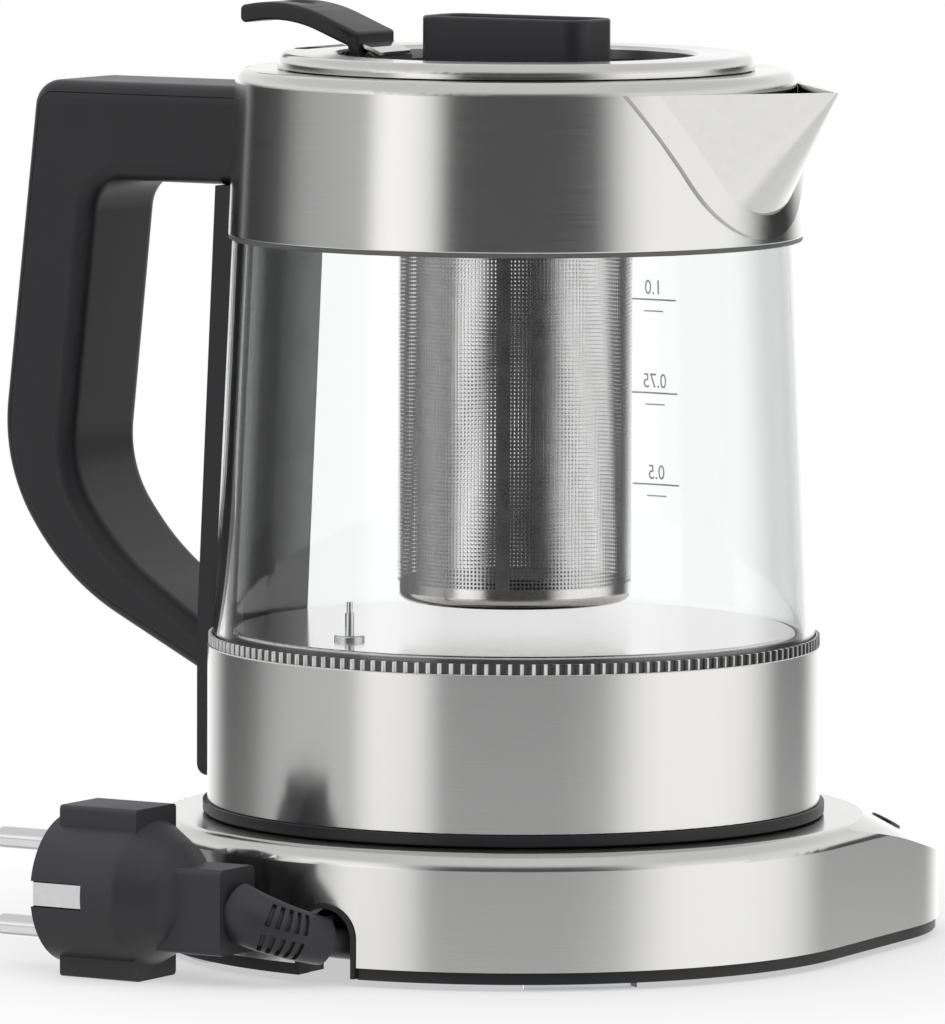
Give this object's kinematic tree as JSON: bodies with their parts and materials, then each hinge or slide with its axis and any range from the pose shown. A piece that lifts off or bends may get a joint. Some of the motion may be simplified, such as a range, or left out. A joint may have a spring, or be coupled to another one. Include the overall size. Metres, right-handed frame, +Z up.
{
  "type": "automatic tea maker",
  "caption": "Glass tea jug with steel collar, hinged lid, perforated basket and side handle, standing on a round heated base with a sloped button panel, wound mains cord and plug.",
  "frame": {"origin": "middle of the footprint of base, jug and handle on the table, without cord and plug", "axes": "+Z up, control panel at -Y, spout at -X, handle at +X, cord exit at +Y"},
  "size_m": [0.2062, 0.2038, 0.2066],
  "materials": {
    "brushed_steel": "brushed",
    "polished_steel": "polished",
    "black_plastic": "satin",
    "gloss_black": "gloss",
    "glass": "clear",
    "rubber": "matte",
    "cord_black": "satin",
    "brass": "satin",
    "plated_pin": "polished",
    "board_green": "satin",
    "seal_grey": "matte"
  },
  "bodies": {
    "base": {"base_shell": "brushed_steel", "base_seat": "black_plastic", "base_tray": "black_plastic", "base_feet": "rubber", "base_screws": "polished_steel", "power_connector": "black_plastic", "connector_contacts": "brass", "panel_fascia": "gloss_black", "display_window": "gloss_black", "panel_board": "board_green", "power_board": "board_green", "cord_grommet": "black_plastic", "cord_coil": "cord_black", "plug_sleeve": "cord_black", "plug_body": "black_plastic", "plug_pins": "plated_pin", "plug_earth_clips": "plated_pin"},
    "jug": {"jug_foot": "black_plastic", "jug_connector": "black_plastic", "thermostat": "black_plastic", "lower_band": "brushed_steel", "toothed_ring": "black_plastic", "lower_seal": "seal_grey", "heater_plate": "polished_steel", "heating_element": "polished_steel", "sensor_probe": "polished_steel", "glass_jug": "glass", "upper_seal": "black_plastic", "collar": "brushed_steel", "spout": "brushed_steel", "neck_ring": "black_plastic", "hinge_pin": "polished_steel", "handle_shell": "black_plastic", "handle_cover": "black_plastic", "handle_back_strip": "black_plastic", "handle_screws": "polished_steel"},
    "lid": {"lid_cover": "brushed_steel", "lid_inner": "black_plastic", "lid_seal": "seal_grey", "thumb_lever": "black_plastic", "lever_clip": "polished_steel"},
    "basket": {"basket_tube": "brushed_steel", "basket_base": "brushed_steel", "basket_rim": "brushed_steel"},
    "basket_cap": {"basket_cap": "brushed_steel", "basket_knob": "black_plastic"},
    "button_1": {"button_1": "gloss_black"},
    "button_2": {"button_2": "gloss_black"},
    "button_3": {"button_3": "gloss_black"},
    "button_4": {"button_4": "gloss_black"},
    "button_5": {"button_5": "gloss_black"},
    "button_6": {"button_6": "gloss_black"}
  },
  "joints": [
    {"name": "jug_lift", "type": "slide", "parent": "base", "child": "jug", "axis": [0, 0, 1], "range_m": [0, 0.12]},
    {"name": "lid_hinge", "type": "hinge", "parent": "jug", "child": "lid", "pos_m": [0.0282, 0.009, 0.1946], "axis": [0, 1, 0], "range_deg": [0, 30]},
    {"name": "basket_lift", "type": "slide", "parent": "jug", "child": "basket", "axis": [0, 0, 1], "range_m": [0, 0.2]},
    {"name": "cap_lift", "type": "slide", "parent": "basket", "child": "basket_cap", "axis": [0, 0, 1], "range_m": [0, 0.025]},
    {"name": "button_1_push", "type": "slide", "parent": "base", "child": "button_1", "axis": [0.3244, 0.3603, -0.8746], "range_m": [0, 0.0008], "stiffness_N_per_m": 600},
    {"name": "button_2_push", "type": "slide", "parent": "base", "child": "button_2", "axis": [0.2276, 0.4281, -0.8746], "range_m": [0, 0.0008], "stiffness_N_per_m": 600},
    {"name": "button_3_push", "type": "slide", "parent": "base", "child": "button_3", "axis": [0.1173, 0.4704, -0.8746], "range_m": [0, 0.0008], "stiffness_N_per_m": 600},
    {"name": "button_4_push", "type": "slide", "parent": "base", "child": "button_4", "axis": [-0.1173, 0.4704, -0.8746], "range_m": [0, 0.0008], "stiffness_N_per_m": 600},
    {"name": "button_5_push", "type": "slide", "parent": "base", "child": "button_5", "axis": [-0.2276, 0.4281, -0.8746], "range_m": [0, 0.0008], "stiffness_N_per_m": 600},
    {"name": "button_6_push", "type": "slide", "parent": "base", "child": "button_6", "axis": [-0.3244, 0.3603, -0.8746], "range_m": [0, 0.0008], "stiffness_N_per_m": 600}
  ]
}
